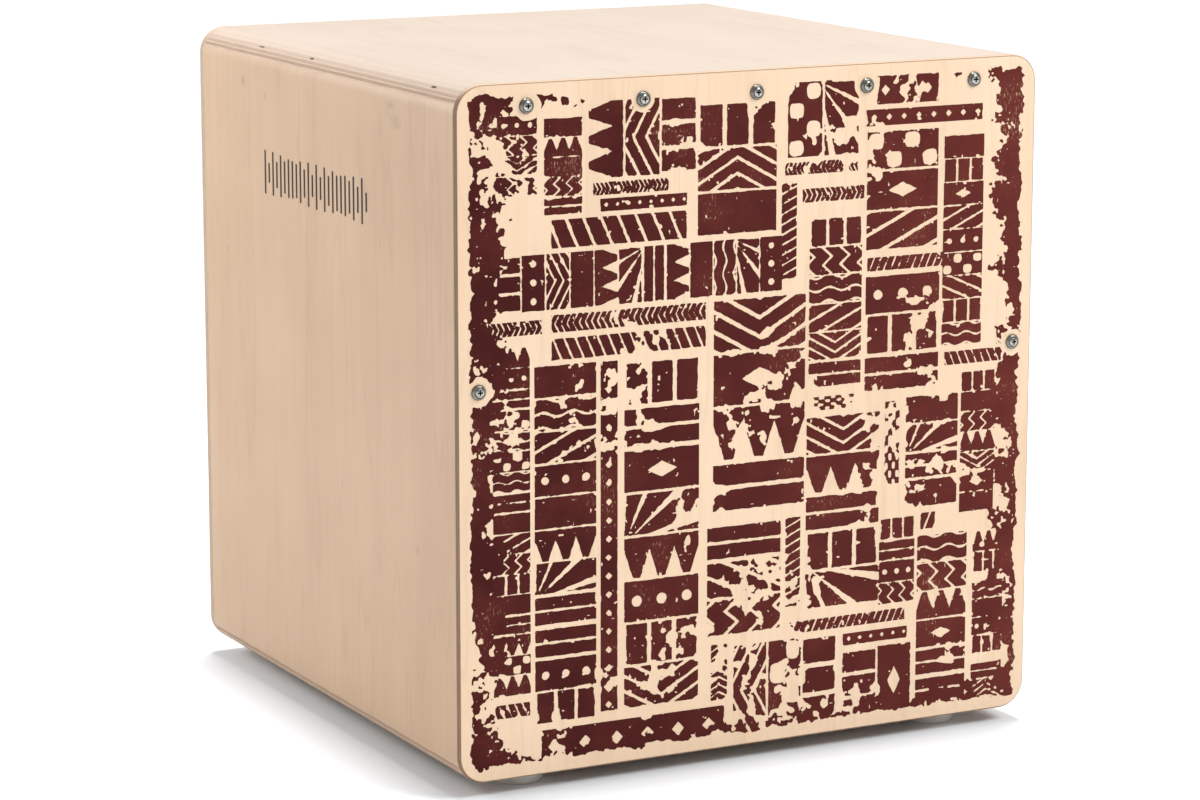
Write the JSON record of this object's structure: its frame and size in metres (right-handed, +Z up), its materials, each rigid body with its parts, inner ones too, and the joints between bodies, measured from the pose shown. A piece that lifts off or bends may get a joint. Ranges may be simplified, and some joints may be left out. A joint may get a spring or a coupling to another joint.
{
  "type": "cajon",
  "caption": "Plywood box drum with a screwed thin front plate, round rear sound hole, inner snare wires, adjustable corner screws and rubber feet.",
  "frame": {"origin": "on the floor, under the middle of the box", "axes": "+Z up, -Y towards the front plate's side, +X to the right seen from the front"},
  "size_m": [0.42, 0.4228, 0.45],
  "materials": {
    "top_veneer": "clear satin lacquer on birch veneer, nine-ply edges",
    "side_veneer": "clear satin lacquer on birch veneer, vertical grain",
    "back_veneer": "clear satin lacquer on birch veneer",
    "tapa_veneer": "clear satin lacquer on pale veneer with a printed pattern of plain shapes",
    "print_ink": "dark maroon screen print, worn at its edges",
    "strip_wood": "planed unfinished softwood",
    "screw_steel": "nickel plated",
    "washer_steel": "nickel plated",
    "snare_steel": "bright spring wire and plate",
    "foot_rubber": "moulded light grey rubber"
  },
  "bodies": {
    "box": {"top_panel": "top_veneer", "left_side_panel": "side_veneer", "right_side_panel": "side_veneer", "bottom_panel": "side_veneer", "back_panel": "back_veneer", "tapa": "tapa_veneer", "front_top_rail": "strip_wood", "front_bottom_rail": "strip_wood", "front_left_stile": "strip_wood", "front_right_stile": "strip_wood", "tapa_screws": "screw_steel", "tapa_washers": "washer_steel", "snare_bar": "strip_wood", "left_bar_cleat": "strip_wood", "right_bar_cleat": "strip_wood", "bar_screws": "screw_steel", "left_snare_plate": "snare_steel", "right_snare_plate": "snare_steel", "left_snare_wires": "snare_steel", "right_snare_wires": "snare_steel", "snare_screws": "screw_steel", "front_left_foot": "foot_rubber", "front_right_foot": "foot_rubber", "back_left_foot": "foot_rubber", "back_right_foot": "foot_rubber", "foot_screws": "screw_steel", "foot_washers": "washer_steel"},
    "left_slap_washer": {"left_slap_washer": "washer_steel"},
    "left_slap_screw": {"left_slap_screw": "screw_steel"},
    "right_slap_washer": {"right_slap_washer": "washer_steel"},
    "right_slap_screw": {"right_slap_screw": "screw_steel"}
  },
  "joints": [
    {"name": "left_slap_travel", "type": "slide", "parent": "box", "child": "left_slap_washer", "axis": [0, -1, 0], "range_m": [0, 0.0036]},
    {"name": "left_slap_turn", "type": "hinge", "parent": "left_slap_washer", "child": "left_slap_screw", "pos_m": [-0.162, -0.21, 0.4355], "axis": [0, -1, 0], "range_deg": [0, 720]},
    {"name": "right_slap_travel", "type": "slide", "parent": "box", "child": "right_slap_washer", "axis": [0, -1, 0], "range_m": [0, 0.0036]},
    {"name": "right_slap_turn", "type": "hinge", "parent": "right_slap_washer", "child": "right_slap_screw", "pos_m": [0.162, -0.21, 0.4355], "axis": [0, -1, 0], "range_deg": [0, 720]}
  ],
  "couplings": [
    {"joint": "left_slap_turn", "follows": "left_slap_travel", "rad_per_m": 3490.7},
    {"joint": "right_slap_turn", "follows": "right_slap_travel", "rad_per_m": 3490.7}
  ]
}
